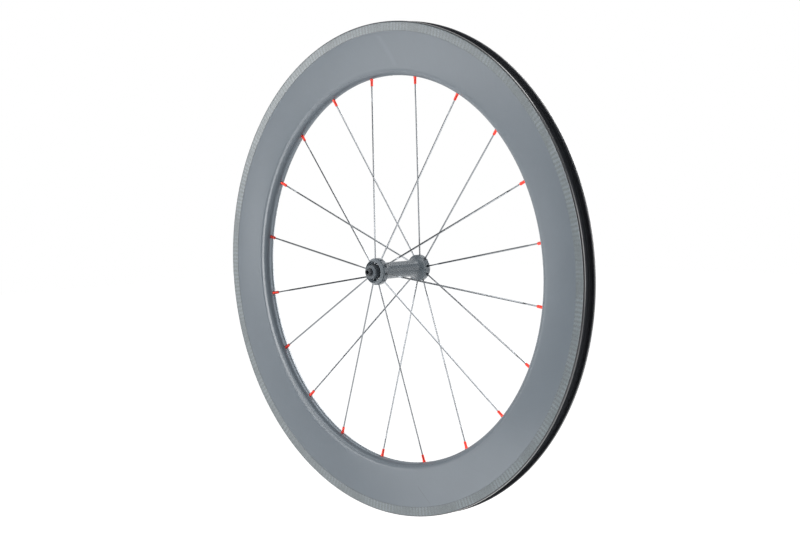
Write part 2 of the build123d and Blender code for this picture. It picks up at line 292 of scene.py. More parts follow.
for finish_name, kinds, dark, light, roughness, metallic in BEARING_FINISHES:
    bearing_finish = turned_finish(
        finish_name, dark, light, roughness, BEARING_TURNING, metallic, BEARING_SPECULAR)
    for kind in kinds:
        for side in SIDES:
            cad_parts[f"bearing_{kind}_{side}"].material_slots[0].material = bearing_finish

# The end caps: turned aluminium spacers, one on each end of the axle, that press on the bearing's inner ring.
# Their outer faces are what the fork clamps, and two flats on the edge take a wrench.
CAP_R = 9.2
SPACER_R = 6.35
CAP_BORE_R = 5.0
CAP_BACK_Y = 40.0
HUB_FLOOR_Y = 36.0
CAP_CHAMFER = 0.6
FLAT_HALF = 8.3
FLAT_SHOULDER_Y = 45.8
SHOULDER_STEP = 0.01
CAP_LINES = 144
CAP_DARK = (0.082, 0.096, 0.108, 1)
CAP_LIGHT = (0.093, 0.108, 0.121, 1)
CAP_ROUGHNESS = 0.36

cap_middle_y = 0.5 * (HUB_FLOOR_Y + CAP_FACE_Y)
cap_behind_flats = rounded([
    (CAP_BORE_R, cap_middle_y, 0),
    (CAP_BORE_R, HUB_FLOOR_Y, SEAT_BREAK),
    (SPACER_R, HUB_FLOOR_Y, EDGE_BREAK),
    (SPACER_R, CAP_BACK_Y, EDGE_BREAK),
    (CAP_R - CAP_CHAMFER, CAP_BACK_Y, FINE_BREAK),
    (CAP_R, CAP_BACK_Y + CAP_CHAMFER, EDGE_BREAK),
    (CAP_R, FLAT_SHOULDER_Y - SHOULDER_STEP, 0),
])
cap_at_flats = rounded([
    (CAP_R, FLAT_SHOULDER_Y + SHOULDER_STEP, 0),
    (CAP_R, CAP_FACE_Y - CAP_CHAMFER, EDGE_BREAK),
    (CAP_R - CAP_CHAMFER, CAP_FACE_Y, EDGE_BREAK),
    (CAP_BORE_R, CAP_FACE_Y, FINE_BREAK),
    (CAP_BORE_R, cap_middle_y, 0),
])[:-1]
cap_section = np.concatenate([cap_behind_flats, cap_at_flats])
cap_points = turned_points(cap_section, full_turn(CAP_LINES))
in_flats, cap_z = cap_points[:, :, 1] > FLAT_SHOULDER_Y, cap_points[:, :, 2]
cap_points[:, :, 2] = np.where(in_flats, np.clip(cap_z, -FLAT_HALF, FLAT_HALF), cap_z)
cap_faces = [grid_faces(CAP_LINES, len(cap_section))]
cap_grey = turned_finish("cap_grey_anodised", CAP_DARK, CAP_LIGHT, CAP_ROUGHNESS, FINE_TURNING)
for side, sign in SIDES.items():
    make_piece(f"fork_cap_{side}", cap_points * (1, sign, 1), cap_faces, "axle", f"end_cap_{side}",
               [cap_grey])

# The hub shell: one piece of aluminium, turned to a thin barrel with a flared flange and an open recess at
# each end, bored along each spoke and anodised grey. The cone outside each flange is a lighter grey,
# and the bearings are pressed in behind the recesses.
BARREL_R = 10.5
SHELL_BORE_R = 8.3
SHELL_SEAT_R = 9.52
FLANGE_R = 17.0
FLANGE_HALF = 4.0
FLANGE_EDGE = 0.5
FLANGE_ROUND = 0.25
FLARE_LENGTH = 9.0
GROOVE_WIDTH = 0.9
GROOVE_DEPTH = 1.3
LIP_STEP = 0.6
LIP_RIM = 0.5
LIP_Y = 45.0
LIP_MARGIN = 0.1
RECESS_STEP = 1.1
RECESS_STEP_Y = 42.6
RECESS_ROUND = 0.25
HEAD_SEAT_R = 11.4
HEAD_Y = 38.5
NIPPLE_SEAT_R = 250.3
SPOKES_A_SIDE = 10
SPOKE_STEP = 36.0
FIRST_SPOKE = {"left": 9.0, "right": 27.0}
MOUTH_R = 2.0
MOUTH_DEPTH = 0.8
MOUTH_BREAK = 0.1
SPOKE_HOLE_R = 1.2
SPOKE_HOLE_DEPTH = 3.6
MOUTH_PITCH = 0.5
MOUTH_INNER = 3
MOUTH_OUTER = 6
HUB_LINES = 200
BARREL_ROWS = 9
FLARE_ROWS = 22
HUB_TURNING = 2500.0
HUB_DARK = (0.094, 0.114, 0.131, 1)
HUB_LIGHT = (0.105, 0.126, 0.144, 1)
HUB_ROUGHNESS = 0.34
HUB_SPECULAR = 0.45
LIP_DARK = (0.155, 0.177, 0.194, 1)
LIP_LIGHT = (0.172, 0.195, 0.213, 1)
LIP_ROUGHNESS = 0.36

spoke_slope = HEAD_Y / (NIPPLE_SEAT_R - HEAD_SEAT_R)
exit_y = HEAD_Y - (FLANGE_R - HEAD_SEAT_R) * spoke_slope
flange_in_y, flange_out_y = exit_y - FLANGE_HALF, exit_y + FLANGE_HALF


def spoke_angles(side):
    """Angles of one side's spokes in degrees: the first, and the others a step apart."""
    return FIRST_SPOKE[side] + SPOKE_STEP * np.arange(SPOKES_A_SIDE)


def spoke_axes(side, angle):
    """Unit vectors of a spoke at an angle in degrees: along it to the rim, across it along the rim, and their
    normal. The first is the radius at that angle, tilted towards the middle by the spoke's slope."""
    a, tilt = math.radians(angle), math.atan(spoke_slope)
    level = math.cos(tilt)
    along = np.array([math.cos(a) * level, -SIDES[side] * math.sin(tilt), math.sin(a) * level])
    across = np.array([-math.sin(a), 0.0, math.cos(a)])
    return along, across, np.cross(along, across)


def bored_skin(section, angles, bores):
    """A closed section turned about the axle, pierced by round holes. A bore is (row, column, inner, outer,
    radius, shift) on the grid of angles and section points. Round it a square of grid lines is drawn into
    rings: points on the inner square move onto the hole's circle, those on the outer square stay, and between
    them the pull falls evenly. Faces in the inner square are left out. The grid is moved in arc lengths round
    the axle and along the section, so the holes' edges lie in the surface."""
    rows, columns = len(angles), len(section)
    lengths = np.linalg.norm(np.roll(section, -1, axis=0) - section, axis=1)
    along = np.cumsum(lengths) - lengths
    whole = lengths.sum()
    turn = np.repeat(angles[:, None], columns, axis=1)
    path = np.repeat(along[None, :], rows, axis=0)
    solid = np.ones((rows, columns), bool)
    for row, column, inner, outer, radius, shift in bores:
        step_i = (np.arange(rows) - row + rows // 2) % rows - rows // 2
        step_j = (np.arange(columns) - column + columns // 2) % columns - columns // 2
        i, j = np.flatnonzero(abs(step_i) <= outer), np.flatnonzero(abs(step_j) <= outer)
        base_r = section[column, 0]
        round_axle = ((angles[i] - angles[row] + math.pi) % (2 * math.pi) - math.pi) * base_r
        on_section = (along[j] - along[column] + whole / 2) % whole - whole / 2
        s, t = np.meshgrid(round_axle, on_section, indexing="ij")
        ring = np.maximum(abs(step_i[i])[:, None], abs(step_j[j])[None, :])
        pull = np.clip((outer - ring) / (outer - inner), 0, 1)
        reach = np.maximum(np.hypot(s, t), 1e-9)
        turn[np.ix_(i, j)] = angles[row] + (s * (1 - pull) + pull * radius * s / reach) / base_r
        path[np.ix_(i, j)] = along[column] + t * (1 - pull) + pull * (radius * t / reach + shift)
        cut_i = i[(step_i[i] >= -inner) & (step_i[i] < inner)]
        cut_j = j[(step_j[j] >= -inner) & (step_j[j] < inner)]
        solid[np.ix_(cut_i, cut_j)] = False
    r = np.interp(path, along, section[:, 0], period=whole)
    y = np.interp(path, along, section[:, 1], period=whole)
    points = np.stack([r * np.cos(turn), y, r * np.sin(turn)], axis=2).reshape(-1, 3)
    return points, grid_faces(rows, columns).reshape(rows, columns, 4)[solid], np.nonzero(solid)[1]


def hole_edge(row, column, inner, rows, columns, flip=1):
    """Numbers of the points on a hole's edge, in order: once round the inner square of its grid lines."""
    side, far = np.arange(-inner, inner), np.full(2 * inner, inner)
    step_i = np.concatenate([side, far, -side, -far])
    step_j = np.concatenate([-far, side, far, -side]) * flip
    return (row + step_i) % rows * columns + (column + step_j) % columns


def join_loops(loops):
    """Quads between each loop of point numbers and the next."""
    after = np.roll(loops, -1, axis=1)
    return np.stack([loops[:-1], loops[1:], after[1:], after[:-1]], axis=2).reshape(-1, 4)


def hole_wall(points, edge, axis, rings):
    """A wall that runs from a hole's edge along its axis, through rings of (radius, depth), to a flat end."""
    centre = points[edge].mean(0)
    spread = points[edge] - centre
    spread -= np.outer(spread @ axis, axis)
    spread /= np.linalg.norm(spread, axis=1, keepdims=True)
    wall = np.concatenate([centre + axis * depth + spread * radius for radius, depth in rings])
    loops = np.vstack([edge, len(points) + np.arange(len(wall)).reshape(len(rings), -1)])
    end = len(points) + len(wall)
    fan = np.stack([loops[-1], np.roll(loops[-1], -1), np.full(len(edge), end)], axis=1)
    return np.concatenate([points, wall, [centre + axis * rings[-1][1]]]), join_loops(loops), fan


def recess_r(y):
    """Radius of the recess at a place along the axle. Its wall is a cone square to the spokes."""
    return HEAD_SEAT_R + (y - HEAD_Y) * spoke_slope


def middles_of_runs(section):
    """Radius and distance from the middle plane, half way along each run of a closed section."""
    middle = 0.5 * (section + np.roll(section, -1, axis=0))
    return middle[:, 0], abs(middle[:, 1])


flare_rise = FLANGE_R - FLANGE_EDGE - BARREL_R
flare_radius = (flare_rise ** 2 + FLARE_LENGTH ** 2) / (2 * flare_rise)
flare_y = flange_in_y - FLARE_LENGTH
flare_swing = np.linspace(0, math.asin(FLARE_LENGTH / flare_radius), FLARE_ROWS)
flare_r = BARREL_R + flare_radius * (1 - np.cos(flare_swing))
flare = np.stack([flare_r, flare_y + flare_radius * np.sin(flare_swing)], axis=1)
barrel_y = np.linspace(0, flare_y, BARREL_ROWS + 1)[:-1]
barrel = np.stack([np.full(BARREL_ROWS, BARREL_R), barrel_y], axis=1)
mouth_lines = exit_y + MOUTH_PITCH * np.arange(-MOUTH_OUTER, MOUTH_OUTER + 1)
flange_edge = rounded([
    tuple(flare[-1]) + (0,),
    (FLANGE_R, flange_in_y + FLANGE_EDGE, FLANGE_ROUND),
    (FLANGE_R, mouth_lines[0], 0),
])[1:]
flange_top = np.stack([np.full(2 * MOUTH_OUTER, FLANGE_R), mouth_lines[1:]], axis=1)
lip_in_r = recess_r(LIP_Y) + RECESS_STEP
hub_end = rounded([
    (FLANGE_R, mouth_lines[-1], 0),
    (FLANGE_R, flange_out_y - GROOVE_WIDTH, TOOL_NOSE),
    (FLANGE_R - GROOVE_DEPTH, flange_out_y - GROOVE_WIDTH, EDGE_BREAK),
    (FLANGE_R - GROOVE_DEPTH, flange_out_y, EDGE_BREAK),
    (FLANGE_R - LIP_STEP, flange_out_y, FINE_BREAK),
    (lip_in_r + LIP_RIM, LIP_Y, EDGE_BREAK),
    (lip_in_r, LIP_Y, FINE_BREAK),
    (lip_in_r, RECESS_STEP_Y, FINE_BREAK),
    (recess_r(RECESS_STEP_Y), RECESS_STEP_Y, EDGE_BREAK),
    (recess_r(HUB_FLOOR_Y), HUB_FLOOR_Y, RECESS_ROUND),
    (SHELL_SEAT_R, HUB_FLOOR_Y, SEAT_BREAK),
    (SHELL_SEAT_R, BEARING_INNER_Y, SEAT_BREAK),
    (SHELL_BORE_R, BEARING_INNER_Y, EDGE_BREAK),
    (SHELL_BORE_R, 0, 0),
])[1:]
hub_section = both_sides(np.concatenate([barrel, flare, flange_edge, flange_top, hub_end]))
mouth_column = len(barrel) + len(flare) + len(flange_edge) - 1 + MOUTH_OUTER
mouth_columns = {"left": mouth_column, "right": len(hub_section) - mouth_column}
hub_angles = full_turn(HUB_LINES, math.radians(FIRST_SPOKE["left"]))
mouths = [(side, angle, round((angle - FIRST_SPOKE["left"]) * HUB_LINES / 360), mouth_columns[side])
          for side in SIDES for angle in spoke_angles(side)]
hub_bores = [(row, column, MOUTH_INNER, MOUTH_OUTER, MOUTH_R, 0) for _, _, row, column in mouths]
hub_points, hub_faces, hub_runs = bored_skin(hub_section, hub_angles, hub_bores)
hub_parts = [hub_faces]
mouth_rings = [(SPOKE_HOLE_R + MOUTH_BREAK, MOUTH_DEPTH - MOUTH_BREAK / 2),
               (SPOKE_HOLE_R, MOUTH_DEPTH + MOUTH_BREAK),
               (SPOKE_HOLE_R, SPOKE_HOLE_DEPTH)]
for side, angle, row, column in mouths:
    inward = -spoke_axes(side, angle)[0]
    edge = hole_edge(row, column, MOUTH_INNER, HUB_LINES, len(hub_section))
    hub_points, wall, end = hole_wall(hub_points, edge, inward, mouth_rings)
    hub_parts += [wall, end]
run_r, run_y = middles_of_runs(hub_section)
on_lip = (run_y > flange_out_y - LIP_MARGIN) & (run_r > lip_in_r + LIP_MARGIN)
hub_finish_of_face = np.zeros(sum(len(part) for part in hub_parts), int)
hub_finish_of_face[:len(hub_runs)] = on_lip[hub_runs]
hub_grey = turned_finish("hub_grey_anodised", HUB_DARK, HUB_LIGHT, HUB_ROUGHNESS, HUB_TURNING,
                         specular=HUB_SPECULAR)
# The cone outside each flange takes a lighter grey than the rest of the shell.
lip_lighter = turned_finish("hub_lip_cut", LIP_DARK, LIP_LIGHT, LIP_ROUGHNESS, HUB_TURNING)
make_piece("hub_body", hub_points, hub_parts, "wheel", "hub_shell", [hub_grey, lip_lighter],
           hub_finish_of_face)

# The spokes: twenty straight-pull spokes of bright stainless wire. Each is drawn round, then rolled to a
# blade between two round butts. Its head sits in the flange's recess, and its threaded end is screwed into a
# nipple.
SPOKE_R = 1.0
# The head: places along the spoke from its seat, and the radius there.
SPOKE_HEAD = ((-1.6, 1.5), (-1.5, 1.7), (-1.2, 1.9), (-0.1, 1.9), (-0.02, 1.82), (0.0, 1.1), (0.1, SPOKE_R))
BLADE_HALF_WIDTH = 1.15
BLADE_HALF_THICKNESS = 0.475
BLADE_POWER = 2.5
HUB_BUTT = 24.0
RIM_BUTT = 14.0
BLADE_RUN = 7.0
NIPPLE_SHANK = 11.8
THREAD = 6.0
SPOKE_TIP = 0.8
TIP_CHAMFER = 0.3
TIP_DROP = 0.25
SPOKE_RING = 24
RUN_ROWS = 9
BLADE_ROWS = 12
FIRST_NUMBERED = 2
STEEL_WIRE_DARK = (0.205, 0.218, 0.231, 1)
STEEL_WIRE_LIGHT = (0.249, 0.264, 0.278, 1)
STEEL_WIRE_GLOSS = (0.13, 0.17)
NOISE_WIDE = (0.2, 0.8)
WIRE_WAVES, WIRE_OCTAVES, WIRE_FALLOFF = 160.0, 4.0, 0.6
DRAWN_WAVES, DRAWN_BUMP, DRAWN_DEPTH = 3000.0, 0.1, 0.01 * MM

spoke_run = math.hypot(NIPPLE_SEAT_R - HEAD_SEAT_R, HEAD_Y)
blade_low = HUB_BUTT + BLADE_RUN
blade_high = spoke_run - NIPPLE_SHANK - RIM_BUTT - BLADE_RUN


def spoke_points():
    """A section carried along the spoke. It is a circle of radius R in the butts. In the blade it is a
    flattened oval with full edges: half its width by cos a and half its thickness by sin a, each to the power
    of 2 over the blade's power. Between the two the section goes smoothly from one to the other. Rows are
    stations, columns go round the section."""
    head = np.array(SPOKE_HEAD)
    tip = spoke_run + SPOKE_TIP
    station = np.concatenate([
        head[:, 0], [HUB_BUTT / 2],
        np.linspace(HUB_BUTT, blade_low, RUN_ROWS),
        np.linspace(blade_low, blade_high, BLADE_ROWS)[1:-1],
        np.linspace(blade_high, blade_high + BLADE_RUN, RUN_ROWS),
        [spoke_run - THREAD, tip - TIP_CHAMFER, tip],
    ])
    radius = np.full(len(station), SPOKE_R)
    radius[:len(head)] = head[:, 1]
    radius[-1] = SPOKE_R - TIP_DROP
    into_blade = np.clip((station - HUB_BUTT) / BLADE_RUN, 0, 1)
    out_of_blade = np.clip((blade_high + BLADE_RUN - station) / BLADE_RUN, 0, 1)
    flat = np.minimum(into_blade, out_of_blade)
    flat = (flat * flat * (3 - 2 * flat))[:, None]
    a = 2 * math.pi * (np.arange(SPOKE_RING) + 0.5) / SPOKE_RING
    oval_x = np.sign(np.cos(a)) * abs(np.cos(a)) ** (2 / BLADE_POWER)
    oval_y = np.sign(np.sin(a)) * abs(np.sin(a)) ** (2 / BLADE_POWER)
    wide = (1 - flat) * radius[:, None] * np.cos(a) + flat * BLADE_HALF_WIDTH * oval_x
    thick = (1 - flat) * radius[:, None] * np.sin(a) + flat * BLADE_HALF_THICKNESS * oval_y
    return np.stack([wide, thick, np.repeat(station[:, None], SPOKE_RING, axis=1)], axis=2)


def closed_ends(points, rows, columns):
    """Triangles that close the first and the last ring of a grid, each round a new point at the middle of its
    ring."""
    first, last = np.arange(columns), (rows - 1) * columns + np.arange(columns)
    middles = np.stack([points[first].mean(0), points[last].mean(0)])
    fans = [np.stack([ring, np.roll(ring, -1), np.full(columns, len(points) + k)], axis=1)
            for k, ring in enumerate((first, last))]
    return np.concatenate([points, middles]), np.concatenate(fans)


def on_spoke(points, side, angle, radius, y):
    """Points drawn across, beside and along a spoke's line, put at the place (radius, y) of that line."""
    along, across, beside = spoke_axes(side, angle)
    a = math.radians(angle)
    start = np.array([math.cos(a) * radius, SIDES[side] * y, math.sin(a) * radius])
    return points @ np.stack([across, beside, along]) + start


def clouded_finish(name, dark, light, gloss, span, waves, octaves, falloff, metallic=0.0, specular=0.5):
    """A finish whose colour and gloss drift together. One soft noise over Object coordinates runs from the
    dark to the light colour and, over its span, from the lesser to the greater roughness."""
    material, tree, shader = new_finish(name, sum(gloss) / 2, metallic, specular)
    place = add(tree, "TexCoord", out="Object")
    cloud = noise(tree, place, waves, octaves, falloff)
    tree.links.new(blend_colours(tree, cloud, dark, light), shader.inputs["Base Color"])
    tree.links.new(scaled(tree, cloud, *span, *gloss), shader.inputs["Roughness"])
    return material, tree, shader, place


spoke_grid = spoke_points()
spoke_rows = len(spoke_grid)
spoke_drawn, spoke_ends = closed_ends(spoke_grid.reshape(-1, 3), spoke_rows, SPOKE_RING)
spoke_faces = [grid_faces(spoke_rows, SPOKE_RING, close_rows=False), spoke_ends]
spoke_steel, tree, shader, place = clouded_finish(
    "spoke_stainless", STEEL_WIRE_DARK, STEEL_WIRE_LIGHT, STEEL_WIRE_GLOSS, NOISE_WIDE,
    WIRE_WAVES, WIRE_OCTAVES, WIRE_FALLOFF, metallic=1.0)
raise_surface(tree, shader, noise(tree, place, DRAWN_WAVES), DRAWN_BUMP, DRAWN_DEPTH)
for side in SIDES:
    for number, angle in enumerate(np.roll(spoke_angles(side), -FIRST_NUMBERED), start=1):
        laid = on_spoke(spoke_drawn, side, angle, HEAD_SEAT_R, HEAD_Y)
        label = f"spoke_{side}_{number:02d}"
        make_piece(f"bladed_{label}", laid, spoke_faces, "wheel", label, [spoke_steel])

# The nipples: twenty of aluminium, turned, milled to four flats and anodised red. Each is screwed on a spoke
# from inside the rim, where its head pulls on the nose, and its flats stand out for the spoke key.
NIPPLE_R = 1.975
NIPPLE_FLAT_HALF = 1.625
NIPPLE_FLAT_LENGTH = 7.0
NIPPLE_BORE_R = 1.03
NIPPLE_HEAD_R = 2.9
NIPPLE_HEAD_HEIGHT = 2.2
NIPPLE_CHAMFER = 0.5
NIPPLE_TIP_BREAK = 0.12
FLAT_END_STEP = 0.02
NIPPLE_RING = 64
NIPPLE_TURN = 45.0
RED_DARK = (0.86, 0.075, 0.055, 1)
RED_LIGHT = (0.94, 0.095, 0.072, 1)
RED_GLOSS = (0.38, 0.48)
RED_WAVES, RED_OCTAVES, RED_FALLOFF = 220.0, 3.0, 0.5
MILLED_WAVES, MILLED_BUMP, MILLED_DEPTH = 2500.0, 0.15, 0.02 * MM

flats_end = NIPPLE_FLAT_LENGTH - NIPPLE_SHANK
nipple_flats = rounded([
    (NIPPLE_BORE_R, -0.5 * NIPPLE_SHANK, 0),
    (NIPPLE_BORE_R, -NIPPLE_SHANK, FINE_BREAK),
    (NIPPLE_R - NIPPLE_CHAMFER, -NIPPLE_SHANK, NIPPLE_TIP_BREAK),
    (NIPPLE_R, NIPPLE_CHAMFER - NIPPLE_SHANK, EDGE_BREAK),
    (NIPPLE_R, flats_end - FLAT_END_STEP, 0),
])
nipple_round = rounded([
    (NIPPLE_R, flats_end + FLAT_END_STEP, 0),
    (NIPPLE_R, 0, FINE_BREAK),
    (NIPPLE_HEAD_R, 0, FINE_BREAK),
    (NIPPLE_HEAD_R, NIPPLE_HEAD_HEIGHT - NIPPLE_CHAMFER, EDGE_BREAK),
    (NIPPLE_HEAD_R - NIPPLE_CHAMFER, NIPPLE_HEAD_HEIGHT, EDGE_BREAK),
    (NIPPLE_BORE_R, NIPPLE_HEAD_HEIGHT, FINE_BREAK),
    (NIPPLE_BORE_R, -0.5 * NIPPLE_SHANK, 0),
])[:-1]


def nipple_points():
    """A closed section carried round the nipple's axis. On the flats the radius is the lesser of the
    section's own and half the flats' width over the larger of |cos b| and |sin b|, which is a square with
    rounded corners; b is a less the nipple's turn on its spoke."""
    a = full_turn(NIPPLE_RING)
    turned = a - math.radians(NIPPLE_TURN)
    square = NIPPLE_FLAT_HALF / np.maximum(abs(np.cos(turned)), abs(np.sin(turned)))
    reach = np.concatenate([np.minimum.outer(nipple_flats[:, 0], square),
                            np.repeat(nipple_round[:, :1], NIPPLE_RING, axis=1)])
    height = np.concatenate([nipple_flats[:, 1], nipple_round[:, 1]])
    along = np.repeat(height[:, None], NIPPLE_RING, axis=1)
    return np.stack([reach * np.cos(a), reach * np.sin(a), along], axis=2)


nipple_grid = nipple_points()
nipple_drawn = nipple_grid.reshape(-1, 3)
nipple_faces = grid_faces(len(nipple_grid), NIPPLE_RING)
nipple_red, tree, shader, place = clouded_finish(
    "nipple_red_anodised", RED_DARK, RED_LIGHT, RED_GLOSS, NOISE_WIDE,
    RED_WAVES, RED_OCTAVES, RED_FALLOFF, metallic=1.0)
raise_surface(tree, shader, noise(tree, place, MILLED_WAVES), MILLED_BUMP, MILLED_DEPTH)
for side in SIDES:
    laid = [on_spoke(nipple_drawn, side, angle, NIPPLE_SEAT_R, 0.0) for angle in spoke_angles(side)]
    faces = [nipple_faces + k * len(nipple_drawn) for k in range(len(laid))]
    make_piece(f"nipple_set_{side}", np.concatenate(laid), faces, "wheel", f"nipples_{side}",
               [nipple_red])

# The rim: one hollow ring of carbon fibre in epoxy, moulded in one piece. Its deep walls are matt, laid with
# straight fibres, and polished at the nose. The brake tracks are a bare woven ply with a dark line along
# their inner edge, the outer edge is lacquered dark where it turns over, after a matt dark band that is a
# painted dark reflection, and the bare channel between its hooks takes the tyre's beads.
RIM_R = 316.5
NOSE_R = 248.0
NOSE_ROUND = 10.4
SIDE_LEAN = 3.0
HALF_WIDTH = 11.5
TRACK_IN_R = 304.1
TRACK_STEP = 0.25
EDGE_ROUND = 2.0
# From this radius to the next, the edge's curve is a matt dark band: a painted dark reflection.
DARK_REFLECTION_R = 315.1
EDGE_GLOSS_R = 315.8
HOOK_IN = 7.9
HOOK_ROUND = 0.5
HOOK_LIP_R = 314.1
POCKET_HALF = 8.8
BEAD_R = 311.0
BEAD_ROUND = 0.4
SHELF_IN = 5.2
SHELF_ROUND = 0.5
WELL_R = 309.2
WELL_HALF = 4.0
WELL_ROUND = 0.6
CHANNEL_DEPTH = 5.0
CHANNEL_MARGIN = 0.05
CHANNEL_STEPS = 6
NIPPLE_HOLE_R = 2.125
NIPPLE_EDGE_R = 2.3
NIPPLE_HOLE_BREAK = 0.05
NIPPLE_HOLE_DEPTHS = (0.12, 0.3, 2.0)
VALVE_R = 3.25
VALVE_ANGLE = 90.0
SECTORS = 20
SECTOR = 18.0
NOSE_PITCH = 0.6
NOSE_NEAR_ROWS = 10
NOSE_FAR_ROWS = 11
WALL_ROWS = 13
WELL_PITCH = 0.5
NIPPLE_INNER, NIPPLE_OUTER = 3, 5
VALVE_INNER, VALVE_OUTER = 5, 8
WELL_OUTER = 7
PLAIN_LINES = 13
BESIDE_VALVE_LINES = 8
RIM_CREASE = 30.0
MATT_WALL, WOVEN_TRACK, BARE_CHANNEL, LACQUERED_EDGE, DARK_REFLECTION_EDGE = range(5)

lean = math.radians(SIDE_LEAN)
nose_near = NOSE_PITCH * np.arange(NOSE_NEAR_ROWS) / NOSE_ROUND
nose_far = np.linspace(nose_near[-1], math.radians(90) - lean, NOSE_FAR_ROWS)[1:]
nose_swing = np.concatenate([nose_near, nose_far])
nose = np.stack([NOSE_R + NOSE_ROUND * (1 - np.cos(nose_swing)), NOSE_ROUND * np.sin(nose_swing)], axis=1)
rise = np.array([TRACK_IN_R, HALF_WIDTH - TRACK_STEP]) - nose[-1]
bow = 2 * (lean - math.atan2(rise[1], rise[0]))
bow_radius = math.hypot(*rise) / (2 * math.sin(bow / 2))
heading = lean - bow * np.linspace(0, 1, WALL_ROWS)[1:]
bowed = np.stack([math.sin(lean) - np.sin(heading), np.cos(heading) - math.cos(lean)], axis=1)
sidewall = nose[-1] + bow_radius * bowed
well_lines = WELL_PITCH * np.arange(WELL_OUTER, -1, -1)
channel = rounded([
    (TRACK_IN_R, HALF_WIDTH - TRACK_STEP, 0),
    (TRACK_IN_R + TRACK_STEP, HALF_WIDTH, FINE_BREAK),
    (RIM_R, HALF_WIDTH, EDGE_ROUND),
    (RIM_R, HOOK_IN, HOOK_ROUND),
    (HOOK_LIP_R, HOOK_IN, HOOK_ROUND),
    (HOOK_LIP_R - (POCKET_HALF - HOOK_IN), POCKET_HALF, HOOK_ROUND),
    (BEAD_R, POCKET_HALF, BEAD_ROUND),
    (BEAD_R, SHELF_IN, SHELF_ROUND),
    (WELL_R, WELL_HALF, WELL_ROUND),
    (WELL_R, well_lines[0], 0),
], steps=CHANNEL_STEPS)[1:]
well = np.stack([np.full(WELL_OUTER, WELL_R), well_lines[1:]], axis=1)
rim_half = np.concatenate([nose, sidewall, channel, well])
rim_section = both_sides(rim_half)
run_r, run_y = middles_of_runs(rim_section)
on_track = (run_r > TRACK_IN_R) & (run_y > HALF_WIDTH - TRACK_STEP)
on_edge = (run_r > DARK_REFLECTION_R) & (run_y > HOOK_IN)
in_channel = (run_r > BEAD_R - CHANNEL_DEPTH) & (run_y < POCKET_HALF + CHANNEL_MARGIN)
# The matt dark band on the edge's curve is a painted dark reflection; beyond it the edge is lacquered.
finish_of_run = np.select([on_edge & (run_r < EDGE_GLOSS_R), on_edge, in_channel, on_track],
                          [DARK_REFLECTION_EDGE, LACQUERED_EDGE, BARE_CHANNEL, WOVEN_TRACK], MATT_WALL)

sector = math.radians(SECTOR)
hole_lines = NOSE_PITCH / NOSE_R * np.arange(-NIPPLE_OUTER, NIPPLE_OUTER + 1)
plain_lines = np.linspace(hole_lines[-1], sector + hole_lines[0], PLAIN_LINES)[1:-1]
valve_lines = sector / 2 + NOSE_PITCH / NOSE_R * np.arange(-VALVE_OUTER, VALVE_OUTER + 1)
beside_valve = np.linspace(hole_lines[-1], valve_lines[0], BESIDE_VALVE_LINES)[1:-1]
valve_sector = np.concatenate([beside_valve, valve_lines, sector - beside_valve[::-1]])
valve_number = (VALVE_ANGLE - SECTOR) // SECTOR
rim_angles = np.concatenate([
    math.radians(FIRST_SPOKE["left"]) + sector * k
    + np.concatenate([hole_lines, valve_sector if k == valve_number else plain_lines])
    for k in range(SECTORS)])
rim_rows, rim_columns = len(rim_angles), len(rim_section)


def rim_row(angle):
    """Number of the rim's grid line nearest to an angle in degrees."""
    return int(abs(rim_angles - math.radians(angle)).argmin())


nose_drift = (NIPPLE_SEAT_R - NOSE_R) * spoke_slope
nipple_holes = [(side, angle, rim_row(angle)) for side in SIDES for angle in spoke_angles(side)]
valve_row, well_column = rim_row(VALVE_ANGLE), len(rim_half) - 1
rim_bores = [(row, 0, NIPPLE_INNER, NIPPLE_OUTER, NIPPLE_EDGE_R, SIDES[side] * nose_drift)
             for side, _, row in nipple_holes]
rim_bores += [(valve_row, 0, VALVE_INNER, VALVE_OUTER, VALVE_R, 0),
              (valve_row, well_column, VALVE_INNER, WELL_OUTER, VALVE_R, 0)]
rim_points, rim_faces, rim_runs = bored_skin(rim_section, rim_angles, rim_bores)
rim_parts = [rim_faces]
nipple_hole_radii = (NIPPLE_HOLE_R + NIPPLE_HOLE_BREAK, NIPPLE_HOLE_R, NIPPLE_HOLE_R)
nipple_rings = list(zip(nipple_hole_radii, NIPPLE_HOLE_DEPTHS))
for side, angle, row in nipple_holes:
    edge = hole_edge(row, 0, NIPPLE_INNER, rim_rows, rim_columns)
    rim_points, wall, end = hole_wall(rim_points, edge, spoke_axes(side, angle)[0], nipple_rings)
    rim_parts += [wall, end]
valve_edges = np.stack([hole_edge(valve_row, 0, VALVE_INNER, rim_rows, rim_columns),
                        hole_edge(valve_row, well_column, VALVE_INNER, rim_rows, rim_columns, flip=-1)])
rim_parts.append(join_loops(valve_edges))
rim_finish_of_face = np.full(sum(len(part) for part in rim_parts), BARE_CHANNEL)
rim_finish_of_face[:len(rim_runs)] = finish_of_run[rim_runs]

# The rim's matt walls: fibres at a slant to the radius, with one dark seam and one pale streak along them.
# The nose is polished by the mould, and dark and matt again on its innermost line.
MATT_DARK = (0.097, 0.119, 0.141, 1)
MATT_LIGHT = (0.109, 0.134, 0.158, 1)
SEAM_COLOUR, SEAM_SHARE = (0.045, 0.052, 0.060, 1), 0.85
STREAK_COLOUR, STREAK_SHARE = (0.30, 0.34, 0.38, 1), 0.07
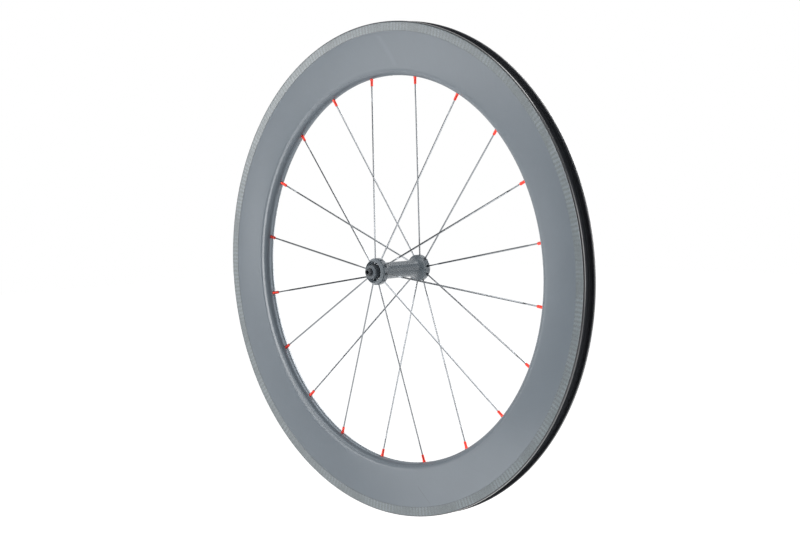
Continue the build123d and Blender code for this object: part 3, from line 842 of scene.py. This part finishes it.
# Lines along the fibres: angle, first and last radius, half width.
SEAM = (-81.25, 279.0, 299.0, 0.5)
STREAK = (90.5, 262.0, 298.0, 6.0)
SEAM_FADE = 3.0
FIBRE_R = 285.0
FIBRE_SLANT = 37.4
FIBRES_ROUND, FIBRES_OUT = 420.0, 60.0
FIBRE_OCTAVES, FIBRE_FALLOFF = 4.0, 0.6
FIBRE_SHARE = 0.6
FIBRE_GLOSS = 0.04
FIBRE_BUMP, FIBRE_DEPTH = 0.02, 0.03 * MM
PLY_WAVES, PLY_OCTAVES = 22.0, 3.0
NOSE_DARK_R = 249.4
POLISHED_R = 252.5
MATT_R = 260.0
POLISHED_ROUGHNESS = 0.25
MATT_ROUGHNESS = 0.42
NOSE_METALLIC = 0.5
MATT_COMBED = 0.95
COMB_TURN = 0.03


def ply_line(tree, spiral, radius, angle, first_r, last_r, half_width):
    """1 on a line along the fibres at an angle in degrees, falling evenly to 0 at its half width and beyond
    its ends."""
    aside = sums(tree, "ABSOLUTE", less(tree, spiral, math.radians(angle)))
    across = scaled(tree, aside, 0.0, half_width / FIBRE_R, 1.0, 0.0)
    low_end = scaled(tree, radius, (first_r - SEAM_FADE) * MM, first_r * MM, 0.0, 1.0)
    high_end = scaled(tree, radius, last_r * MM, (last_r + SEAM_FADE) * MM, 1.0, 0.0)
    return times(tree, across, times(tree, low_end, high_end))


def comb_fibres(tree, shader, strength, turn):
    """Reflections drawn out along the rim, as fibres laid across it do. The turn is a share of a full
    circle."""
    shader.inputs["Anisotropic"].default_value = strength
    shader.inputs["Anisotropic Rotation"].default_value = turn
    tree.links.new(add(tree, "Tangent", direction_type="RADIAL", axis="Y"), shader.inputs["Tangent"])


rim_matt, tree, shader = new_finish("rim_matt_carbon", MATT_ROUGHNESS, specular=1.0)
place, radius, _, angle = wheel_coordinates(tree)
slant = math.tan(math.radians(FIBRE_SLANT)) / FIBRE_R / MM
spiral = less(tree, angle, times(tree, less(tree, radius, FIBRE_R * MM), slant))
fibre_place = add(tree, "CombineXYZ",
                  times(tree, sums(tree, "COSINE", spiral), FIBRES_ROUND),
                  times(tree, sums(tree, "SINE", spiral), FIBRES_ROUND),
                  times(tree, radius, FIBRES_OUT))
fibres = noise(tree, fibre_place, 1.0, FIBRE_OCTAVES, FIBRE_FALLOFF)
cloud = noise(tree, place, PLY_WAVES, PLY_OCTAVES)
share = plus(tree, times(tree, fibres, FIBRE_SHARE), times(tree, cloud, 1 - FIBRE_SHARE))
laminate = blend_colours(tree, scaled(tree, share, *NOISE_CORE, 0.0, 1.0), MATT_DARK, MATT_LIGHT)
seam = times(tree, ply_line(tree, spiral, radius, *SEAM), SEAM_SHARE)
streak = times(tree, ply_line(tree, spiral, radius, *STREAK), STREAK_SHARE)
laminate = blend_colours(tree, seam, laminate, SEAM_COLOUR)
laminate = blend_colours(tree, streak, laminate, STREAK_COLOUR)
tree.links.new(laminate, shader.inputs["Base Color"])
inner_nose = scaled(tree, radius, NOSE_DARK_R * MM, POLISHED_R * MM, MATT_ROUGHNESS, POLISHED_ROUGHNESS)
outer_nose = scaled(tree, radius, POLISHED_R * MM, MATT_R * MM, POLISHED_ROUGHNESS, MATT_ROUGHNESS)
gloss = plus(tree, sums(tree, "MAXIMUM", inner_nose, outer_nose),
             scaled(tree, fibres, *NOISE_SPAN, 0.0, FIBRE_GLOSS))
tree.links.new(gloss, shader.inputs["Roughness"])
tree.links.new(scaled(tree, radius, NOSE_DARK_R * MM, POLISHED_R * MM, NOSE_METALLIC, 0.0),
               shader.inputs["Metallic"])
comb_fibres(tree, shader, MATT_COMBED, COMB_TURN)
raise_surface(tree, shader, fibres, FIBRE_BUMP, FIBRE_DEPTH)

# The rim's brake tracks: a twill of flat tows, laid at 45 degrees to the track and left bare. Each tow goes
# over two and under two, and the tows wander a little. A dark line runs along the track's inner edge, at its
# step.
TOWS_ROUND = 696
TRACK_MID_R = 310.3
TOW_WANDER, WANDER_WAVES = 0.8, 130.0
TWILL_REPEAT, TWILL_OVER = 4.0, 1.5
FILAMENTS_A_TOW, FILAMENT_SHARE = 9.0, 0.25
DYE_SHARE = 0.25
OVER_WAVES, OVER_SPAN, OVER_SHARE = 30.0, (0.38, 0.62), (0.1, 0.8)
TOW_DARK = (0.100, 0.117, 0.125, 1)
TOW_LIGHT = (0.166, 0.194, 0.208, 1)
INNER_LINE_WIDTH, INNER_LINE_SHARE = 0.6, 0.9
INNER_LINE_COLOUR = (0.045, 0.052, 0.058, 1)
TRACK_GLOSS = (0.25, 0.32)
TRACK_SPECULAR = 0.8
TRACK_COMBED = 0.6
CROWN_BUMP, CROWN_DEPTH = 0.1, 0.03 * MM

rim_woven, tree, shader = new_finish("rim_woven_track", sum(TRACK_GLOSS) / 2, specular=TRACK_SPECULAR)
place, radius, _, angle = wheel_coordinates(tree)
tow = 2 * math.pi * TRACK_MID_R * MM / TOWS_ROUND
wander = times(tree, noise(tree, place, WANDER_WAVES), TOW_WANDER)
round_rim = plus(tree, times(tree, angle, TOWS_ROUND / (2 * math.pi)), wander)
out_from_mid = sums(tree, "DIVIDE", less(tree, radius, TRACK_MID_R * MM), tow)
warp, weft = plus(tree, round_rim, out_from_mid), less(tree, round_rim, out_from_mid)
warp_number, weft_number = sums(tree, "FLOOR", warp), sums(tree, "FLOOR", weft)
step = sums(tree, "FLOORED_MODULO", plus(tree, warp_number, weft_number), TWILL_REPEAT)
over = sums(tree, "LESS_THAN", step, TWILL_OVER)
across = plus(tree, times(tree, over, less(tree, warp, weft)), weft)
along = less(tree, plus(tree, warp, weft), across)
crown = sums(tree, "SINE", times(tree, sums(tree, "FRACT", across), math.pi))
filament_place = add(tree, "CombineXYZ", times(tree, across, FILAMENTS_A_TOW), along, over)
filaments = noise(tree, filament_place, 1.0)
dye = add(tree, "TexWhiteNoise", add(tree, "CombineXYZ", warp_number, weft_number, 0.0))
contrast = scaled(tree, noise(tree, place, OVER_WAVES), *OVER_SPAN, *OVER_SHARE)
share = plus(tree, times(tree, over, contrast), times(tree, dye, DYE_SHARE))
share = plus(tree, share, times(tree, filaments, FILAMENT_SHARE))
cloth = blend_colours(tree, share, TOW_DARK, TOW_LIGHT)
# A dark line along the track's inner edge, at its step.
inner_line = scaled(tree, radius, TRACK_IN_R * MM, (TRACK_IN_R + INNER_LINE_WIDTH) * MM, INNER_LINE_SHARE, 0.0)
tree.links.new(blend_colours(tree, inner_line, cloth, INNER_LINE_COLOUR), shader.inputs["Base Color"])
tree.links.new(scaled(tree, filaments, *NOISE_SPAN, *TRACK_GLOSS), shader.inputs["Roughness"])
comb_fibres(tree, shader, TRACK_COMBED, COMB_TURN)
raise_surface(tree, shader, crown, CROWN_BUMP, CROWN_DEPTH)

# The rim's channel and outer edge: the channel is bare laminate as it leaves the mould. The edge's curve
# starts with a matt dark band, a painted dark reflection, and is lacquered where it turns over to the hooks.
CHANNEL_DARK, CHANNEL_LIGHT = (0.031, 0.034, 0.040, 1), (0.039, 0.043, 0.050, 1)
CHANNEL_GLOSS, CHANNEL_SPECULAR = (0.58, 0.72), 0.2
CHANNEL_WAVES, CHANNEL_OCTAVES = 90.0, 4.0
LACQUER_DARK, LACQUER_LIGHT = (0.013, 0.015, 0.018, 1), (0.019, 0.022, 0.026, 1)
LACQUER_GLOSS, LACQUER_SPECULAR = (0.18, 0.24), 1.0
REFLECTION_BAND_DARK, REFLECTION_BAND_LIGHT = (0.030, 0.034, 0.039, 1), (0.040, 0.045, 0.051, 1)
REFLECTION_BAND_GLOSS, REFLECTION_BAND_SPECULAR = (0.55, 0.65), 0.2
EDGE_WAVES, EDGE_OCTAVES = 140.0, 3.0
COAT_FALLOFF = 0.6

rim_channel, *_ = clouded_finish(
    "rim_bare_channel", CHANNEL_DARK, CHANNEL_LIGHT, CHANNEL_GLOSS, NOISE_SPAN,
    CHANNEL_WAVES, CHANNEL_OCTAVES, COAT_FALLOFF, specular=CHANNEL_SPECULAR)
rim_edge, *_ = clouded_finish(
    "rim_edge_lacquered", LACQUER_DARK, LACQUER_LIGHT, LACQUER_GLOSS, NOISE_SPAN,
    EDGE_WAVES, EDGE_OCTAVES, COAT_FALLOFF, specular=LACQUER_SPECULAR)
# A matt dark finish for the band on the edge's curve: a painted dark reflection.
rim_painted_reflection, *_ = clouded_finish(
    "rim_edge_painted_dark_reflection", REFLECTION_BAND_DARK, REFLECTION_BAND_LIGHT, REFLECTION_BAND_GLOSS, NOISE_SPAN,
    EDGE_WAVES, EDGE_OCTAVES, COAT_FALLOFF, specular=REFLECTION_BAND_SPECULAR)
make_piece("carbon_rim", rim_points, rim_parts, "wheel", "rim",
           [rim_matt, rim_woven, rim_channel, rim_edge, rim_painted_reflection], rim_finish_of_face, RIM_CREASE)

# The studio: a white room with a pale floor well below the wheel, which hangs free, and large soft lamps.
# The camera stands on the wheel's right, at 45 degrees to its plane, with a long lens.
CAMERA_TURN = 45.18
CAMERA_RISE = 3.66
CAMERA_ROLL = -1.49
CAMERA_DISTANCE = 2.38552
SENSOR_WIDTH = 36.0
IMAGE_WIDTH = 800
FOCAL_PIXELS = 1859.94
CENTRE_SHIFT = (1.89, 3.14)


def towards(turn, rise):
    """Unit vector from the wheel's middle straight out on its right, swung about the upright by a turn and
    raised by a rise, in degrees."""
    turn, rise = math.radians(turn), math.radians(rise)
    return Vector((math.sin(turn) * math.cos(rise), -math.cos(turn) * math.cos(rise), math.sin(rise)))


back = towards(CAMERA_TURN, CAMERA_RISE)
right = Vector((math.cos(math.radians(CAMERA_TURN)), math.sin(math.radians(CAMERA_TURN)), 0))
axes = Matrix((right, back.cross(right), back)).transposed().to_4x4()
roll = Matrix.Rotation(math.radians(CAMERA_ROLL), 4, "Z")
camera_data = bpy.data.cameras.new("camera")
camera_data.sensor_width = SENSOR_WIDTH
camera_data.lens = SENSOR_WIDTH * FOCAL_PIXELS / IMAGE_WIDTH
camera_data.shift_x, camera_data.shift_y = (c / IMAGE_WIDTH for c in CENTRE_SHIFT)
camera = bpy.data.objects.new("camera", camera_data)
camera.matrix_world = Matrix.Translation(back * CAMERA_DISTANCE) @ axes @ roll
bpy.context.scene.collection.objects.link(camera)
bpy.context.scene.camera = camera

ROOM_BACK = (-0.709, 0.705, 0.0)
ROOM_UP = (0.0, 0.0, 1.0)
ROOM_LIGHT = 0.175
ROOM_FRONT = 0.15
ROOM_CEILING = 0.8
BACK_EDGE = (0.2, 0.6)
CEILING_EDGE = (0.35, 0.75)
WHITE = (1, 1, 1, 1)


def ray_kinds(tree):
    """1 for a ray that shows the room straight or through glass, and 1 for one mirrored in a piece."""
    path = tree.nodes.new("ShaderNodeLightPath")
    seen = sums(tree, "MAXIMUM", path.outputs["Is Camera Ray"], path.outputs["Is Transmission Ray"])
    return seen, path.outputs["Is Glossy Ray"]


def reach_along(tree, place, direction):
    """How far a place lies along a direction: the sum of the products of their parts."""
    return add(tree, "VectorMath", place, direction, out="Value", operation="DOT_PRODUCT")


world = bpy.data.worlds.new("white_room")
world.use_nodes = True
tree = world.node_tree
ray = add(tree, "TexCoord", out="Generated")
back_wall = add(tree, "MapRange", reach_along(tree, ray, ROOM_BACK), *BACK_EDGE, ROOM_FRONT, 1.0,
                interpolation_type="SMOOTHSTEP")
ceiling = add(tree, "MapRange", reach_along(tree, ray, ROOM_UP), *CEILING_EDGE, ROOM_FRONT, ROOM_CEILING,
              interpolation_type="SMOOTHSTEP")
seen, glossy = ray_kinds(tree)
mirrored = times(tree, glossy, sums(tree, "MAXIMUM", back_wall, ceiling))
strength = sums(tree, "MAXIMUM", sums(tree, "MAXIMUM", seen, mirrored), ROOM_LIGHT)
tree.nodes["Background"].inputs["Color"].default_value = WHITE
tree.links.new(strength, tree.nodes["Background"].inputs["Strength"])
bpy.context.scene.world = world

FLOOR_Z = -1.0
FLOOR_HALF = 12.0
FLOOR_COLOUR = (0.9, 0.9, 0.9, 1)
FLOOR_ROUGHNESS = 0.9
FLOOR_SHINE = 0.9
FLOOR_FADE = (-1.2, 0.6)

floor_mesh = bpy.data.meshes.new("pale_floor")
floor_corners = FLOOR_HALF * np.array([(-1, -1), (1, -1), (1, 1), (-1, 1)])
floor_mesh.from_pydata([(x, y, FLOOR_Z) for x, y in floor_corners.tolist()], [], [(0, 1, 2, 3)])
floor = bpy.data.objects.new("pale_floor", floor_mesh)
bpy.context.scene.collection.objects.link(floor)
floor_white, tree, shader = new_finish("floor_white", FLOOR_ROUGHNESS, specular=0.0)
shader.inputs["Base Color"].default_value = FLOOR_COLOUR
shader.inputs["Emission Color"].default_value = WHITE
seen, glossy = ray_kinds(tree)
floor_back = reach_along(tree, add(tree, "TexCoord", out="Object"), ROOM_BACK)
mirrored = times(tree, glossy, scaled(tree, floor_back, *FLOOR_FADE, 0.0, 1.0))
shine = times(tree, sums(tree, "MAXIMUM", seen, mirrored), FLOOR_SHINE)
tree.links.new(shine, shader.inputs["Emission Strength"])
floor_mesh.materials.append(floor_white)

# Each lamp: its turn and rise in degrees, its width and height in metres, and its power in watts.
LAMP_DISTANCE = 2.8
LAMPS = (
    ("front_panel", -2, 6, 1.8, 2.4, 60.0),
    ("left_strip", -50, -2, 0.4, 1.8, 4.5),
    ("left_spot", -48.5, 7, 0.5, 0.6, 4.5),
    ("key_high", 0, 45, 1.4, 1.4, 16.0),
    ("side_right", 122, 8, 1.9, 2.4, 34.0),
    ("back_high", 160, 60, 1.4, 1.4, 28.0),
    ("back", 195, 12, 1.6, 1.6, 40.0),
)
for lamp_name, lamp_turn, lamp_rise, width, height, power in LAMPS:
    from_middle = towards(lamp_turn, lamp_rise)
    lamp_data = bpy.data.lights.new(lamp_name, "AREA")
    lamp_data.shape = "ELLIPSE"
    lamp_data.size, lamp_data.size_y = width, height
    lamp_data.energy = power
    lamp = bpy.data.objects.new(lamp_name, lamp_data)
    lamp.location = from_middle * LAMP_DISTANCE
    lamp.rotation_euler = from_middle.to_track_quat("Z", "Y").to_euler()
    lamp.visible_camera = False
    bpy.context.scene.collection.objects.link(lamp)

bpy.context.scene.view_settings.view_transform = "Standard"
